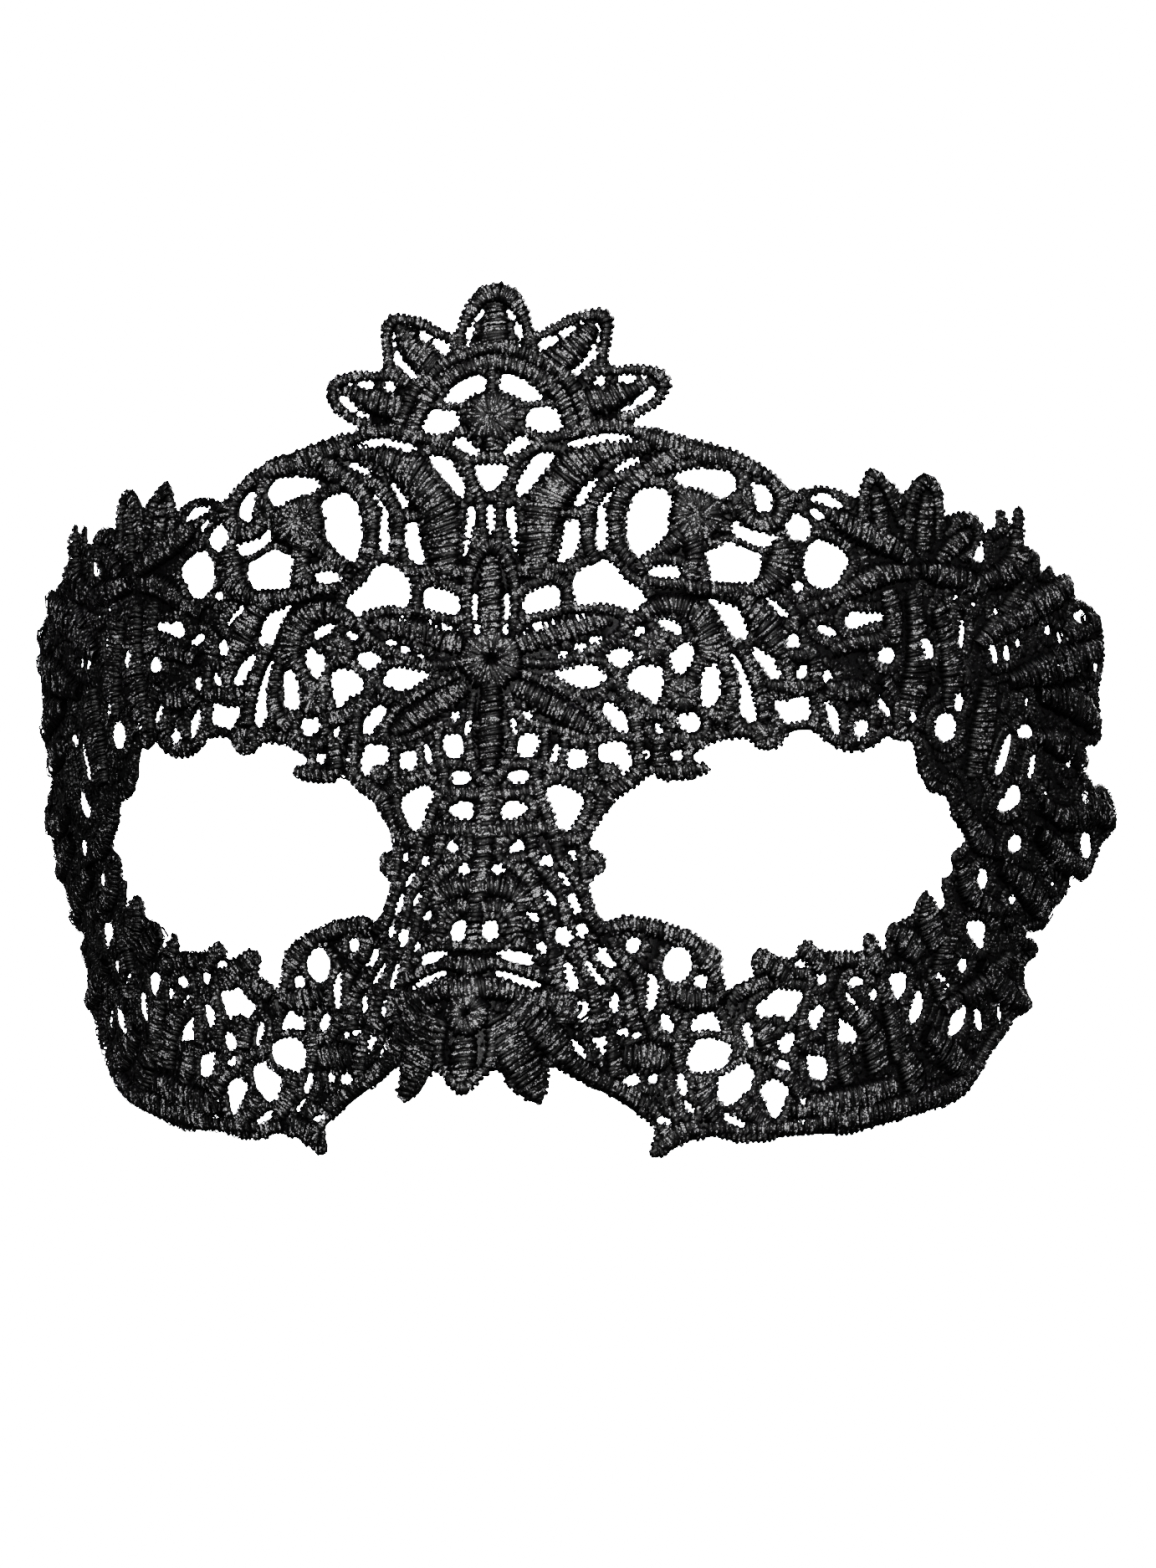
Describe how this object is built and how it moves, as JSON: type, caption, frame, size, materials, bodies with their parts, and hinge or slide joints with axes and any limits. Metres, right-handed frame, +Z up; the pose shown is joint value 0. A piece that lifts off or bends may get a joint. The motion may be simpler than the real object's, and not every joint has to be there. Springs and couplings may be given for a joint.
{
  "type": "lace eye mask",
  "caption": "Pierced lace eye mask shaped to the face, with satin scrolls, a petal crown over the brow, side wings and cheek panels around two open eye holes.",
  "frame": {"origin": "on the middle line between the eyes, just behind the inner face of the lace, where it rests on the face", "axes": "+Z up, +X to the wearer's left, the face looks toward -Y and the open back of the mask faces +Y"},
  "size_m": [0.168, 0.079, 0.1256],
  "materials": {
    "black_thread": "satin embroidery thread"
  },
  "bodies": {
    "root": {"crown_fan": "black_thread", "brow_medallion": "black_thread", "centre_flower": "black_thread", "nose_bridge": "black_thread", "nose_flower": "black_thread", "brow_scroll_left": "black_thread", "brow_scroll_right": "black_thread", "brow_lace_left": "black_thread", "brow_lace_right": "black_thread", "temple_flower_left": "black_thread", "temple_flower_right": "black_thread", "side_wing_left": "black_thread", "side_wing_right": "black_thread", "cheek_scroll_left": "black_thread", "cheek_scroll_right": "black_thread", "cheek_flower_left": "black_thread", "cheek_flower_right": "black_thread"}
  },
  "joints": []
}
